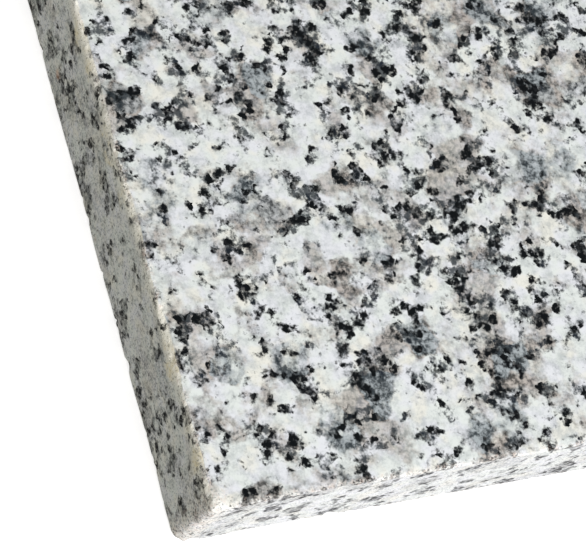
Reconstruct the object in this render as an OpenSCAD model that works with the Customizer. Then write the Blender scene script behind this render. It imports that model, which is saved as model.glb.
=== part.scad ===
// Granite slab, a flat bench stone for cutting, punching and tooling leather on.
// It is one solid piece of sawn stone: a polished working face on top, sawn
// sides, and a flat underside that rests on the bench. All its edges are eased.
// The origin is at the centre of the underside, with the front at -Y.

/* [Slab] */
// Width of the slab from left to right
slab_w = 200; // [100:5:400]
// Depth of the slab from front to back
slab_d = 200; // [100:5:400]
// Thickness of the slab
slab_t = 20; // [15:1:50]

/* [Eased edges] */
// Bevel round the working face, measured along the face
top_bevel = 1; // [0.5:0.1:4]
// Bevel round the underside, measured along the face
base_bevel = 0.8; // [0.5:0.1:4]
// Bevel on the four upright corners, measured along the side
corner_bevel = 1.2; // [0.5:0.1:4]

/* [Hidden] */

// Outline of a rectangle that is centred on x = 0 and stands on y = 0, with its
// two lower corners cut back at 45 degrees by low and its two upper ones by high.
function bevelled(width, height, low, high) = [
    [-width / 2 + low, 0],
    [width / 2 - low, 0],
    [width / 2, low],
    [width / 2, height - high],
    [width / 2 - high, height],
    [-width / 2 + high, height],
    [-width / 2, height - high],
    [-width / 2, low]
];

// The slab's outline from above, through its whole thickness
module plan_prism() {
    translate([0, -slab_d / 2, 0])
        linear_extrude(slab_t)
            polygon(bevelled(slab_w, slab_d, corner_bevel, corner_bevel));
}

// The slab's outline from the front, through its whole depth
module front_prism() {
    rotate([90, 0, 0])
        linear_extrude(slab_d, center = true)
            polygon(bevelled(slab_w, slab_t, base_bevel, top_bevel));
}

// The slab's outline from the side, through its whole width
module side_prism() {
    rotate([90, 0, 90])
        linear_extrude(slab_w, center = true)
            polygon(bevelled(slab_d, slab_t, base_bevel, top_bevel));
}

// The stone is what the three outlines have in common, so each edge of the
// block gets the bevel of the outline that it is a corner of.
module slab() {
    color("gainsboro")
        intersection() {
            plan_prism();
            front_prism();
            side_prism();
        }
}

slab();
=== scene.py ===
"""A leatherworking slab of light grey granite, lying on a pale floor and seen from above one corner."""

import math
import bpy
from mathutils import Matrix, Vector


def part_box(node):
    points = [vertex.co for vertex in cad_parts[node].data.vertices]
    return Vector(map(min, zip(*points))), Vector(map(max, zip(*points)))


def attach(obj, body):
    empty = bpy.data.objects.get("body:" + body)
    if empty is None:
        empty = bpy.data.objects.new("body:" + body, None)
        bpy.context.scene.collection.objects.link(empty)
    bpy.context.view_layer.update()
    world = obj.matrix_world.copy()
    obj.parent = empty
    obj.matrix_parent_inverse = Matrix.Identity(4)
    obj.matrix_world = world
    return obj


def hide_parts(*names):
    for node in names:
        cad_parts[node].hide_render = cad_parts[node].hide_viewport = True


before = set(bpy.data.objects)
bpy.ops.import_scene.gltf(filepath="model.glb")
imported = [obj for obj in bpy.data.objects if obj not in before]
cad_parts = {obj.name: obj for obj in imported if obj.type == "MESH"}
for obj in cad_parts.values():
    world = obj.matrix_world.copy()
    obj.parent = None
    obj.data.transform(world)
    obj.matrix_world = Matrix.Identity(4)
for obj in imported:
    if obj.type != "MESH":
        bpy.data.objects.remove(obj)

from types import SimpleNamespace

import bpy
from mathutils import Matrix, Vector, geometry, noise

MM = 0.001
UP = Vector((0, 0, 1))

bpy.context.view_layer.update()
LOW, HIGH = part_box("slab")
CENTRE = (LOW + HIGH) / 2
HALF = (HIGH - LOW) / 2
THICKNESS = HIGH.z - LOW.z

# ---------------------------------------------------------------- the block's shape
TOP_EASE = Vector((0.55 * MM, 0.9 * MM))  # how far the top edge's wear runs in, and down, at most
LEFT_EASE = Vector((1.5 * MM, 2.1 * MM))  # the same along the left side, which is worn the most
BASE_EASE = 0.6 * MM  # how far the wear of the edge round the underside runs in, and up, at most
CORNER_RADIUS = 0.9 * MM  # upright corners at their tops, seen from above
KNOCKED_FOOT = 2.8 * MM  # radius worn on the foot of the near upright corner
WORN_FOOT = 1.9 * MM  # and on the foot of the other three
SAW_HOLLOW = 0.3 * MM  # how much the sides are hollow between their ends
SAW_WANDER = 0.16 * MM  # how far the saw wandered, at most
SAW_RIPPLE = 0.08 * MM
SAW_GRIT = 0.06 * MM
CHIPS = ((3.4 * MM, 1.9 * MM), (1.3 * MM, 1.0 * MM))  # spacing and largest radius of each set of chips
CHIP_BAND = (1.0 * MM, 2.6 * MM)  # chips fade out between these distances from an edge
CHIP_STEEPNESS = 0.45
CORE = 3 * MM  # chips are hollowed out straight towards a core that lies this deep

# ---------------------------------------------------------------- its mesh
STEP = 0.5 * MM  # along the edges
SIDE_ROWS = 18
EASE_ROWS = 8
FINE_FRINGE = 3.5 * MM  # how far the fine mesh runs in over the flat faces
COARSENING = 1.28  # from one ring of points to the next, inside the fringe
COARSEST = 6 * MM  # in the middle of the flat faces

# ---------------------------------------------------------------- the map the colours are baked to
MAP_MARGIN = 0.01
MAP_SCALE = 0.62 / (2 * max(HALF.x, HALF.y))  # the working face and the sides
BASE_MAP_SCALE = 0.34 / (2 * max(HALF.x, HALF.y))
BASE_MAP_LEFT = 0.65
SIDE_MAP_FLOOR = 0.65
SIDE_MAP_PITCH = 0.08

# ---------------------------------------------------------------- the camera's view
VIEW_BACK = Vector((-0.443, -0.274, 0.853))  # from the stone towards the camera
VIEW_UP = Vector((0.126, 0.924, 0.362))
VIEW_WIDTH = 106.1 * MM  # the width of stone that fills the picture
AIM_FROM_CORNER = Vector((28.1 * MM, 41.05 * MM, 0))  # where the camera looks, from the near corner
CAMERA_DISTANCE = 0.6
FARTHEST_SEEN = 20.0

# ---------------------------------------------------------------- the floor
FLOOR_REACH = 6.0
FLOOR_GAP = 0.1 * MM  # below the slab
FLOOR_GLOW = 0.68


# ======================================================================== camera, lights, floor


def aim(thing, back, up):
    """Points a camera or lamp along -back, with its top towards up."""
    z_axis = back.normalized()
    x_axis = up.cross(z_axis).normalized()
    y_axis = z_axis.cross(x_axis)
    thing.rotation_mode = "QUATERNION"
    thing.rotation_quaternion = Matrix((x_axis, y_axis, z_axis)).transposed().to_quaternion()


def make_camera():
    """A long lens over the slab's front left corner, so close that the slab runs out of the picture."""
    data = bpy.data.cameras.new("camera")
    camera = bpy.data.objects.new("camera", data)
    bpy.context.scene.collection.objects.link(camera)
    near_corner = Vector((LOW.x, LOW.y, HIGH.z))
    camera.location = near_corner + AIM_FROM_CORNER + VIEW_BACK.normalized() * CAMERA_DISTANCE
    aim(camera, VIEW_BACK, VIEW_UP)
    data.lens = data.sensor_width * CAMERA_DISTANCE / VIEW_WIDTH
    data.clip_end = FARTHEST_SEEN
    bpy.context.scene.camera = camera


def softbox(name, azimuth, elevation, size, distance, watts, colour):
    """A square area lamp aimed at the slab. Azimuth 0 is in front of it and 90 to its right."""
    around, above = math.radians(azimuth), math.radians(elevation)
    back = Vector((
        math.sin(around) * math.cos(above),
        -math.cos(around) * math.cos(above),
        math.sin(above),
    ))
    data = bpy.data.lights.new(name, "AREA")
    data.size = size
    data.energy = watts
    data.color = colour
    lamp = bpy.data.objects.new(name, data)
    bpy.context.scene.collection.objects.link(lamp)
    lamp.location = CENTRE + back * distance
    aim(lamp, back, UP)
    lamp.visible_camera = False


def make_surroundings():
    """Even studio light from all round."""
    bpy.context.scene.view_settings.view_transform = "Standard"
    world = bpy.data.worlds.new("studio")
    bpy.context.scene.world = world
    world.use_nodes = True
    world.node_tree.nodes["Background"].inputs["Color"].default_value = (0.44, 0.431, 0.401, 1)


def make_floor():
    """A plain white sheet just under the slab. It glows, so that the slab's shadow on it is faint."""
    mesh = bpy.data.meshes.new("floor")
    signs = ((-1, -1), (1, -1), (1, 1), (-1, 1))
    corners = [(across * FLOOR_REACH, along * FLOOR_REACH, LOW.z - FLOOR_GAP) for across, along in signs]
    mesh.from_pydata(corners, [], [(0, 1, 2, 3)])
    floor = bpy.data.objects.new("floor", mesh)
    bpy.context.scene.collection.objects.link(floor)
    material = bpy.data.materials.new("white_sheet")
    material.use_nodes = True
    shader = material.node_tree.nodes["Principled BSDF"]
    shader.inputs["Base Color"].default_value = (0.6, 0.6, 0.6, 1)
    shader.inputs["Roughness"].default_value = 0.9
    shader.inputs["Specular IOR Level"].default_value = 0.0
    shader.inputs["Emission Color"].default_value = (1, 1, 1, 1)
    shader.inputs["Emission Strength"].default_value = FLOOR_GLOW
    mesh.materials.append(material)
    floor.visible_diffuse = False
    floor.visible_glossy = False


make_camera()
softbox(
    "key_light", azimuth=5, elevation=35, size=0.9, distance=1.6, watts=28.6, colour=(0.98, 0.96, 0.99)
)
make_surroundings()
make_floor()


# ======================================================================== the block's mesh


def smooth_step(value, start, end):
    """0 below start and 1 above end, with an eased step between."""
    t = min(1.0, max(0.0, (value - start) / (end - start)))
    return t * t * (3 - 2 * t)


def outline():
    """Points round the block, seen from above, as (place from its centre, side, distance along it)."""
    found = []
    for side in range(4):
        angle = math.radians(-90 + 90 * side)
        out = Vector((round(math.cos(angle)), round(math.sin(angle)), 0))
        along = Vector((-out.y, out.x, 0))
        reach = abs(out.x) * HALF.x + abs(out.y) * HALF.y
        half_run = abs(along.x) * HALF.x + abs(along.y) * HALF.y
        count = round(2 * half_run / STEP)
        for i in range(count):
            run = 2 * half_run * i / count
            found.append((out * reach + along * (run - half_run), side, run))
    return found


def eased_edge(inset, drop):
    """An edge's section as (inset, drop) from a flat face round to a side, a little flatter than an arc."""
    rows = []
    for i in range(EASE_ROWS + 1):
        turn = math.pi / 2 * i / EASE_ROWS
        across = max(0.0, math.cos(turn)) ** 1.5
        rows.append((inset * (1 - math.sin(turn) ** 1.5), drop * (1 - across)))
    return rows


def profile(place):
    """The block's section at a place on its outline, from the working face down, as (inset, height)."""
    inset, drop = LEFT_EASE.lerp(TOP_EASE, smooth_step(place.x + HALF.x, 0, 6 * MM))
    slow = smooth_step(noise.noise(place / (15 * MM) + Vector((9, 2, 4))), -0.3, 0.3)
    quick = 0.5 + 0.5 * noise.noise(place / (2.5 * MM) + Vector((1, 8, 6)))
    worn = 0.2 + 0.55 * slow + 0.25 * quick
    base_ease = BASE_EASE * (1 - 0.5 * slow)
    rows = [(run, HIGH.z - fall) for run, fall in eased_edge(inset * worn, drop * worn)]
    side_top, side_base = rows[-1][1], LOW.z + base_ease
    for i in range(1, SIDE_ROWS):
        rows.append((0.0, side_top + (side_base - side_top) * i / SIDE_ROWS))
    rows += [(run, LOW.z + rise) for run, rise in reversed(eased_edge(base_ease, base_ease))]
    return rows


def round_corner(point):
    """Rounds off the upright corners, more so towards the foot, and the near one the most."""
    near_corner = point.x < CENTRE.x and point.y < CENTRE.y
    foot = KNOCKED_FOOT if near_corner else WORN_FOOT
    radius = foot + (CORNER_RADIUS - foot) * (point.z - LOW.z) / THICKNESS
    from_centre = point - CENTRE
    x = abs(from_centre.x) - (HALF.x - radius)
    y = abs(from_centre.y) - (HALF.y - radius)
    if x <= 0 or y <= 0:
        return point
    squeeze = max(x, y) / math.hypot(x, y)
    return Vector((
        CENTRE.x + math.copysign(HALF.x - radius + x * squeeze, from_centre.x),
        CENTRE.y + math.copysign(HALF.y - radius + y * squeeze, from_centre.y),
        point.z,
    ))


def edge_distance(point):
    """How far a point of the surface is from the nearest of the block's twelve ideal edges."""
    gaps = sorted((
        HALF.x - abs(point.x - CENTRE.x),
        HALF.y - abs(point.y - CENTRE.y),
        min(point.z - LOW.z, HIGH.z - point.z),
    ))
    return math.hypot(gaps[0], gaps[1])


def chip_depth(point):
    """Small scoops where grains have broken out of an edge."""
    near = 1 - smooth_step(edge_distance(point), *CHIP_BAND)
    if near == 0:
        return 0.0
    depth = 0.0
    for spacing, largest in CHIPS:
        distances, centres = noise.voronoi(point / spacing)
        size = noise.cell(centres[0] * 7.3)
        radius = largest * size * size
        ragged = 0.2 * radius * noise.noise(point / (0.6 * MM))
        depth += CHIP_STEEPNESS * max(0.0, radius + ragged - distances[0] * spacing)
    return near * depth


def side_wear(point):
    """How far a sawn side lies inside the block: the saw's wander, a slight hollow, and its rough grit."""
    from_end = max(HALF.x - abs(point.x - CENTRE.x), HALF.y - abs(point.y - CENTRE.y))
    hollow = SAW_HOLLOW * smooth_step(from_end, 6 * MM, 14 * MM)
    slow = 0.5 + 0.5 * noise.noise(point / (17 * MM))
    quick = 0.5 + 0.5 * noise.noise(point / (3.5 * MM) + Vector((3, 5, 7)))
    grit = 0.5 + 0.5 * noise.noise(point / (0.7 * MM))
    return hollow + SAW_WANDER * slow + SAW_RIPPLE * quick + SAW_GRIT * grit


def settle(point):
    """Moves a point of the ideal block in to where the real stone's surface is."""
    point = round_corner(point)
    core = Vector([min(max(p, low + CORE), high - CORE) for p, low, high in zip(point, LOW, HIGH)])
    inward = (core - point).normalized()
    sideways = Vector((inward.x, inward.y, 0))
    return point + inward * chip_depth(point) + sideways * side_wear(point)


def cap_points(inset):
    """Points over a flat face inside an edge band of that inset, finer towards the edge."""
    found = []
    step = STEP
    while inset < min(HALF.x, HALF.y) - COARSEST / 2:
        inset += step
        if inset > FINE_FRINGE:
            step = min(COARSEST, step * COARSENING)
        half_x, half_y = HALF.x - inset, HALF.y - inset
        for side, (run, reach) in enumerate(((half_x, half_y), (half_y, half_x)) * 2):
            angle = math.radians(-90 + 90 * side)
            out = Vector((math.cos(angle), math.sin(angle), 0))
            along = Vector((-out.y, out.x, 0))
            count = max(1, round(2 * run / step))
            found += [out * reach + along * (run * (2 * i / count - 1)) for i in range(count)]
    found.append(Vector((0, 0, 0)))
    return found


def girdle(columns):
    """The edges and sides, as points and faces. A face's corners are (point's index, place on the map)."""
    points, faces = [], []
    for place, _, _ in columns:
        for inset, height in profile(place):
            x = CENTRE.x + place.x * (1 - inset / HALF.x)
            y = CENTRE.y + place.y * (1 - inset / HALF.y)
            points.append(Vector((x, y, height)))
    rows = profile(columns[0][0])
    down = [0.0]
    for (inset, height), (next_inset, next_height) in zip(rows, rows[1:]):
        down.append(down[-1] + math.hypot(next_inset - inset, next_height - height))
    for j, (place, side, run) in enumerate(columns):
        after = (j + 1) % len(columns)
        step = (columns[after][0] - place).length
        for i in range(len(rows) - 1):
            corners = []
            for column, beyond, row in ((j, 0, i), (j, 0, i + 1), (after, step, i + 1), (after, step, i)):
                spot = (
                    MAP_MARGIN + (run + beyond) * MAP_SCALE,
                    SIDE_MAP_FLOOR + side * SIDE_MAP_PITCH + down[row] * MAP_SCALE,
                )
                corners.append((column * len(rows) + row, spot))
            faces.append(corners)
    return points, faces


def cap(points, ring, inset, height, map_left, map_scale):
    """Adds a flat face's points to those so far, and returns the faces that fill the ring round it."""
    inner = [CENTRE + place for place in cap_points(inset)]
    names = ring + list(range(len(points), len(points) + len(inner)))
    points += [Vector((place.x, place.y, height)) for place in inner]
    flat = [points[name].xy for name in names]
    rim = [(k, (k + 1) % len(ring)) for k in range(len(ring))]
    _, _, triangles, origins, _, _ = geometry.delaunay_2d_cdt(flat, rim, [], 1, 1e-7)
    faces = []
    for triangle in triangles:
        corners = []
        for k in triangle:
            name = names[origins[k][0]]
            x, y = points[name].x - LOW.x, points[name].y - LOW.y
            corners.append((name, (map_left + x * map_scale, MAP_MARGIN + y * map_scale)))
        faces.append(corners if height == HIGH.z else corners[::-1])
    return faces


def make_block():
    """The stone as one closed mesh. Its flat faces and its sides each have a place on the map."""
    columns = outline()
    points, faces = girdle(columns)
    row_count = len(points) // len(columns)
    top_ring = list(range(0, len(points), row_count))
    base_ring = [k + row_count - 1 for k in top_ring]
    faces += cap(points, top_ring, LEFT_EASE.x, HIGH.z, MAP_MARGIN, MAP_SCALE)
    faces += cap(points, base_ring, BASE_EASE, LOW.z, BASE_MAP_LEFT, BASE_MAP_SCALE)
    mesh = bpy.data.meshes.new("granite_slab")
    outlines = [[name for name, _ in face] for face in faces]
    mesh.from_pydata([settle(point) for point in points], [], outlines)
    bake_map = mesh.uv_layers.new(name="OFBake")
    bake_map.data.foreach_set("uv", [number for face in faces for _, spot in face for number in spot])
    mesh.polygons.foreach_set("use_smooth", [True] * len(faces))
    mesh.update()
    block = bpy.data.objects.new("granite_slab", mesh)
    bpy.context.scene.collection.objects.link(block)
    return block


# ======================================================================== the granite


def srgb(red, green, blue):
    """A colour as a screen shows it, 0 to 255, as the linear values that a shader takes."""
    def linear(c):
        c /= 255
        return c / 12.92 if c <= 0.04045 else ((c + 0.055) / 1.055) ** 2.4
    return (linear(red), linear(green), linear(blue), 1.0)


class Graph:
    """Adds nodes to a material. Methods take numbers, colours or nodes' outputs, and return outputs."""

    def __init__(self, material):
        material.use_nodes = True
        self.tree = material.node_tree
        self.shader = self.tree.nodes["Principled BSDF"]

    def put(self, socket, value):
        if isinstance(value, bpy.types.NodeSocket):
            self.tree.links.new(value, socket)
        else:
            socket.default_value = value

    def add(self, kind, **settings):
        node = self.tree.nodes.new(kind)
        for name, value in settings.items():
            setattr(node, name, value)
        return node

    def math(self, operation, a, b=0.0):
        node = self.add("ShaderNodeMath", operation=operation)
        self.put(node.inputs[0], a)
        self.put(node.inputs[1], b)
        return node.outputs[0]

    def plus(self, a, b):
        return self.math("ADD", a, b)

    def minus(self, a, b):
        return self.math("SUBTRACT", a, b)

    def times(self, a, b):
        return self.math("MULTIPLY", a, b)

    def most(self, a, b):
        return self.math("MAXIMUM", a, b)

    def vector(self, operation, a, b):
        node = self.add("ShaderNodeVectorMath", operation=operation)
        self.put(node.inputs[0], a)
        self.put(node.inputs[1], b)
        return node.outputs[0]

    def scaled(self, vector, factor):
        node = self.add("ShaderNodeVectorMath", operation="SCALE")
        self.put(node.inputs[0], vector)
        self.put(node.inputs["Scale"], factor)
        return node.outputs[0]

    def split(self, vector):
        node = self.add("ShaderNodeSeparateXYZ")
        self.put(node.inputs[0], vector)
        return node.outputs[0], node.outputs[1], node.outputs[2]

    def ramp(self, value, start, end, low=0.0, high=1.0):
        """value eased from low at start to high at end."""
        node = self.add("ShaderNodeMapRange", interpolation_type="SMOOTHSTEP")
        for name, number in (("From Min", start), ("From Max", end), ("To Min", low), ("To Max", high)):
            self.put(node.inputs[name], number)
        self.put(node.inputs["Value"], value)
        return node.outputs[0]

    def noise(self, place, size, detail=2.0, roughness=0.5):
        node = self.add("ShaderNodeTexNoise")
        self.put(node.inputs["Vector"], place)
        node.inputs["Scale"].default_value = 1 / size
        node.inputs["Detail"].default_value = detail
        node.inputs["Roughness"].default_value = roughness
        return node

    def level(self, place, size, detail=2.0, roughness=0.5, shift=(0.0, 0.0, 0.0)):
        """Noise as one number about 0.5. shift takes it from another part of the noise."""
        return self.noise(self.vector("ADD", place, shift), size, detail, roughness).outputs["Fac"]

    def cells(self, place, size, feature="F1"):
        node = self.add("ShaderNodeTexVoronoi", feature=feature)
        self.put(node.inputs["Vector"], place)
        node.inputs["Scale"].default_value = 1 / size
        return node

    def random(self, cells, channel):
        """A number from 0 to 1 that is the same all over a cell."""
        return self.split(cells.outputs["Color"])[channel]

    def warp(self, place, size, amount, detail=2.0):
        """place shaken by up to about amount, in swirls of that size."""
        shake = self.vector("SUBTRACT", self.noise(place, size, detail).outputs["Color"], (0.5, 0.5, 0.5))
        return self.vector("ADD", place, self.scaled(shake, 2 * amount))

    def mix(self, factor, a, b, blend="MIX"):
        node = self.add("ShaderNodeMix", data_type="RGBA", blend_type=blend)
        self.put(node.inputs[0], factor)
        self.put(node.inputs[6], a)
        self.put(node.inputs[7], b)
        return node.outputs[2]


def patches(g, place, size, share, blur, ragged, rim):
    """Patches that fill that share of the stone, from 0 to 1, and a second number of each patch's own.

    They are cells of about that size. blur runs neighbours into each other, ragged breaks up their
    outlines and rim is how softly they end.
    """
    cells = g.cells(g.warp(place, 0.6 * size, 0.35 * size, 3.0), size, "SMOOTH_F1")
    cells.inputs["Smoothness"].default_value = blur
    breaks = g.minus(g.level(place, 0.35 * size, 3.0, 0.65), 0.5)
    number = g.plus(g.random(cells, 0), g.times(breaks, ragged))
    return g.ramp(g.minus(number, share), rim, -rim), g.random(cells, 2)


def flecks(g, place, size, share, reach, ragged, rim):
    """Grains, at most one to a cell of about that size, that run together where share is high.

    reach is their largest radius, ragged breaks up their outlines and rim is how softly they end, all
    as parts of size.
    """
    cells = g.cells(g.warp(place, 0.7 * size, 0.55 * size, 3.0), size)
    spare = g.minus(share, g.random(cells, 0))
    breaks = g.minus(g.level(place, 0.36 * size, 3.0, 0.6), 0.5)
    radius = g.plus(g.ramp(spare, 0.0, 0.35, 0.35 * reach, reach), g.times(breaks, ragged))
    inside = g.minus(radius, cells.outputs["Distance"])
    here = g.times(g.ramp(inside, -rim, rim), g.ramp(spare, -0.02, 0.02))
    return here, g.random(cells, 2)


def zones(g, place):
    """Where on the block a point is, for the wear, and the painted light on the front side, to go by.

    sawn is 1 on the sides and the underside, edge on the worn edges and corner near the upright
    corners, and they are 0 away from there. front is 1 on the front side and eases to 0 behind it.
    The others are distances from the left side and the working face.
    """
    x, y, z = g.split(g.vector("SUBTRACT", place, CENTRE / MM))
    gap_x = g.minus(HALF.x / MM, g.math("ABSOLUTE", x))
    gap_y = g.minus(HALF.y / MM, g.math("ABSOLUTE", y))
    gap = g.math("MINIMUM", gap_x, gap_y)
    drop = g.minus(HALF.z / MM, z)
    rise = g.plus(HALF.z / MM, z)
    wander = g.minus(g.level(place, 1.2, 3.0, 0.6, (2.0, 9.0, 4.0)), 0.5)
    wander = g.times(wander, 1.4)
    top_edge = g.times(g.ramp(g.plus(gap, wander), 1.7, 0.8), g.ramp(drop, 1.2, 0.5))
    base_edge = g.times(g.ramp(gap, 1.3, 0.8), g.ramp(rise, 1.0, 0.5))
    return SimpleNamespace(
        sawn=g.ramp(g.plus(drop, wander), 0.2, 0.8),
        edge=g.most(top_edge, base_edge),
        corner=g.ramp(g.plus(g.most(gap_x, gap_y), wander), 5.5, 1.5),
        # front places the painted light on the front side.
        front=g.ramp(g.plus(HALF.y / MM, y), 3.0, 1.0),
        from_left=g.plus(HALF.x / MM, x),
        drop=drop,
    )


def gathering(g, grain):
    """How thickly quartz and biotite lie: both gather in the seams between large white grains."""
    seam = g.cells(g.warp(grain, 3.5, 2.2, 2.0), 5.8, "DISTANCE_TO_EDGE").outputs["Distance"]
    seam = g.times(g.ramp(seam, 0.26, 0.02), 0.10)
    gather = g.level(grain, 7.0, 2.0, 0.5, (31.0, 17.0, 5.0))
    clump = g.plus(g.level(grain, 4.0, 2.0, 0.5, (17.0, 6.0, 29.0)), seam)
    quartz_share = g.plus(seam, g.ramp(gather, 0.3, 0.7, 0.12, 0.36))
    crowd = g.times(g.ramp(clump, 0.48, 0.67), g.ramp(gather, 0.36, 0.58, 0.46, 0.97))
    return quartz_share, crowd


def feldspar(g, grain):
    """The white ground, faintly tinted and clouded."""
    cool, warm, _ = g.split(g.noise(grain, 4.0, 2.0, 0.5).outputs["Color"])
    colour = g.mix(g.ramp(cool, 0.40, 0.60), srgb(225, 232, 229), srgb(227, 231, 236))
    colour = g.mix(g.ramp(warm, 0.50, 0.70), colour, srgb(233, 234, 225))
    cloud = g.level(grain, 1.9, 5.0, 0.72, (11.0, 3.0, 0.0))
    return g.mix(g.ramp(cloud, 0.60, 0.30, 0.0, 0.54), colour, srgb(155, 163, 166))


def quartz(g, grain, colour, share, sawn):
    """Smoky grains, half clear, so that they fade into the white round them. Sawing whitens them."""
    here, own = patches(g, grain, 5.2, share, blur=0.5, ragged=1.2, rim=0.28)
    smoke = g.ramp(g.level(grain, 1.3, 5.0, 0.75), 0.38, 0.60)
    warm = g.mix(smoke, srgb(56, 51, 47), srgb(183, 176, 169))
    cold = g.mix(smoke, srgb(42, 51, 56), srgb(168, 177, 181))
    body = g.mix(g.ramp(own, 0.5, 0.8), warm, cold)
    strength = g.times(g.ramp(own, 0.2, 0.6, 0.66, 0.97), g.ramp(sawn, 0.0, 1.0, 1.0, 0.5))
    return g.mix(g.times(here, strength), colour, body)


def biotite(g, grain, colour, crowd, sawn):
    """Near-black flakes in ragged clusters, dark murk round them and stray specks between."""
    murk = g.level(grain, 1.5, 5.0, 0.68, (5.0, 23.0, 41.0))
    murk = g.ramp(g.plus(murk, g.times(crowd, 0.20)), 0.585, 0.765)
    murk = g.times(murk, g.ramp(sawn, 0.0, 1.0, 0.9, 0.6))
    colour = g.mix(murk, colour, srgb(42, 51, 57))
    share = g.plus(g.times(crowd, 0.78), g.ramp(sawn, 0.0, 1.0, 0.05, 0.10))
    flakes, own = flecks(g, grain, 1.6, share, reach=0.69, ragged=1.4, rim=0.32)
    colour = g.mix(flakes, colour, g.mix(g.ramp(own, 0.8, 1.0), srgb(1, 6, 11), srgb(35, 43, 52)))
    share = g.plus(g.times(crowd, 0.16), 0.06)
    specks, own = flecks(g, grain, 0.8, share, reach=0.70, ragged=0.5, rim=0.25)
    speck = g.mix(own, srgb(20, 24, 28), srgb(98, 98, 97))
    return g.mix(g.times(specks, 0.85), colour, speck), flakes


def stained_and_edge_lit(g, place, colour, zone, dust):
    """The top of the left side is painted cream, partly a stain and partly painted highlight where the edge
    rolls over towards the light, and ochre in places, where the stain runs deeper.
    """
    streak = g.level(place, 13.0, 5.0, 0.65, (3.0, 49.0, 8.0))
    blotch = g.ramp(streak, 0.52, 0.68)
    depth = g.plus(zone.drop, g.times(dust, 2.5))
    depth = g.minus(depth, g.times(blotch, 2.5))
    stain_and_highlight_band = g.times(g.ramp(zone.from_left, 1.5, 1.0), g.ramp(zone.drop, 0.02, 0.15))
    stain_and_highlight_band = g.times(stain_and_highlight_band, g.ramp(depth, 5.5, 2.0))
    # The cream is partly stain and partly painted highlight along the left arris; the ochre mixed in below
    # is stain.
    cream_stain_and_highlight = g.times(stain_and_highlight_band, g.ramp(streak, 0.40, 0.54, 0.4, 0.95))
    colour = g.mix(cream_stain_and_highlight, colour, srgb(255, 254, 241))
    return g.mix(g.times(stain_and_highlight_band, blotch), colour, srgb(241, 228, 196), "MULTIPLY")


def powdered_and_front_lit(g, colour, zone, dust):
    """Stone dust has settled in the white ground of the sawn sides. The front side is also painted lighter
    and a little bluer: painted light, where the lamp in front falls on it.
    """
    # Painted light: the front side is mixed towards a pale bluish white, as the lamp in front lights it.
    painted_front_light = g.times(zone.sawn, g.times(zone.front, 0.15))
    colour = g.mix(painted_front_light, colour, srgb(238, 240, 246))
    pale = g.times(zone.sawn, g.ramp(dust, 0.46, 0.62, 0.0, 0.60))
    return g.mix(pale, colour, srgb(236, 234, 226))


def scuffed_and_front_lit(g, place, ground, colour, zone, dust):
    """The sawn sides' dark flakes are scuffed through to the ground in places, the front side is painted a
    little lighter and bluer as painted light from the lamp in front, and grime fills the pores.
    """
    scuff = g.ramp(g.level(place, 0.9, 3.0, 0.65, (12.0, 4.0, 9.0)), 0.49, 0.60, 0.0, 0.48)
    colour = g.mix(g.times(zone.sawn, scuff), colour, ground)
    # Painted light again: the front side a little lighter and bluer.
    painted_front_light = g.times(zone.sawn, g.times(zone.front, 0.09))
    colour = g.mix(painted_front_light, colour, srgb(240, 240, 246))
    pores = g.times(zone.sawn, g.ramp(dust, 0.48, 0.34, 0.0, 0.65))
    return g.mix(pores, colour, srgb(96, 95, 90))


def bruised(g, place, colour, zone, dust):
    """The edges and corners are crumbly: bruised white and a little pink, with dark pits."""
    crumbly = g.ramp(g.level(place, 2.2, 3.0, 0.6, (6.0, 5.0, 2.0)), 0.42, 0.60, 0.2, 1.0)
    crumbly = g.most(g.times(zone.edge, crumbly), zone.corner)
    bruise = g.times(crumbly, g.ramp(dust, 0.40, 0.56, 0.0, 0.70))
    pink = g.ramp(g.level(place, 0.8, 3.0, 0.6, (7.0, 7.0, 1.0)), 0.46, 0.60)
    colour = g.mix(bruise, colour, g.mix(pink, srgb(242, 240, 233), srgb(222, 208, 198)))
    pits = g.times(crumbly, g.ramp(dust, 0.45, 0.33, 0.0, 0.80))
    return g.mix(pits, colour, srgb(74, 64, 57))


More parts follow.
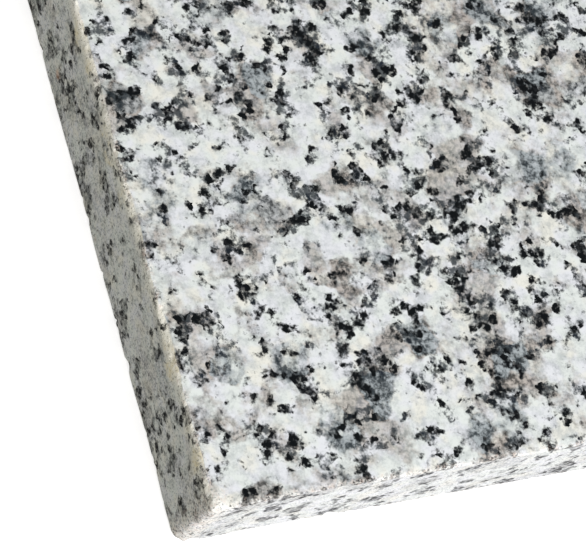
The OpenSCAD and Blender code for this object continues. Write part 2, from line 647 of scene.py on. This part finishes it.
def rusted(g, place, colour, zone):
    """A few crystals in the left side have rusted."""
    spots = g.cells(g.warp(place, 2.0, 1.0), 15.0)
    rust = g.times(g.ramp(spots.outputs["Distance"], 0.10, 0.02), zone.sawn)
    rust = g.times(rust, g.ramp(g.random(spots, 1), 0.45, 0.40))
    rust = g.times(rust, g.ramp(zone.from_left, 4.0, 3.0, 0.0, 0.55))
    return g.mix(rust, colour, srgb(206, 158, 124))


def grit_normal(g, place, zone):
    """Fine bumps on the sawn sides, and deeper ones on the bruised edges."""
    grit = g.minus(g.level(place, 0.7, 2.0, 0.5, (4.0, 7.0, 1.0)), 0.5)
    worn = g.most(zone.edge, zone.corner)
    depth = g.most(g.times(zone.sawn, 0.12), g.times(worn, 0.18))
    bump = g.add("ShaderNodeBump")
    bump.inputs["Distance"].default_value = MM
    g.put(bump.inputs["Height"], g.times(grit, depth))
    return bump.outputs[0]


def granite():
    """Light grey biotite granite, polished on top and sawn on its sides. Its lengths are in millimetres."""
    material = bpy.data.materials.new("granite")
    g = Graph(material)
    place = g.scaled(g.add("ShaderNodeTexCoord").outputs["Object"], 1 / MM)
    grain = g.vector("MULTIPLY", place, (0.92, 0.92, 1.0))  # the grains lie a little flattened
    zone = zones(g, place)
    dust = g.level(place, 0.45, 3.0, 0.7, (8.0, 1.0, 6.0))
    quartz_share, crowd = gathering(g, grain)

    ground = quartz(g, grain, feldspar(g, grain), quartz_share, zone.sawn)
    # Besides stain and dust, this paints highlight along the left arris and painted light on the front side.
    ground = powdered_and_front_lit(g, stained_and_edge_lit(g, place, ground, zone, dust), zone, dust)
    colour, flakes = biotite(g, grain, ground, crowd, zone.sawn)
    # Besides scuffs and grime, this also paints light on the front side.
    colour = scuffed_and_front_lit(g, place, ground, colour, zone, dust)
    colour = bruised(g, place, colour, zone, dust)
    colour = rusted(g, place, colour, zone)

    matt = g.most(zone.sawn, g.most(zone.edge, zone.corner))
    rough = g.most(g.ramp(flakes, 0.0, 1.0, 0.30, 0.42), g.times(matt, 0.68))
    g.put(g.shader.inputs["Base Color"], colour)
    g.put(g.shader.inputs["Roughness"], rough)
    g.put(g.shader.inputs["Normal"], grit_normal(g, place, zone))
    g.shader.inputs["Specular IOR Level"].default_value = 0.16
    return material


# ======================================================================== the object

slab = make_block()
slab.data.materials.append(granite())
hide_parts("slab")
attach(slab, "root")
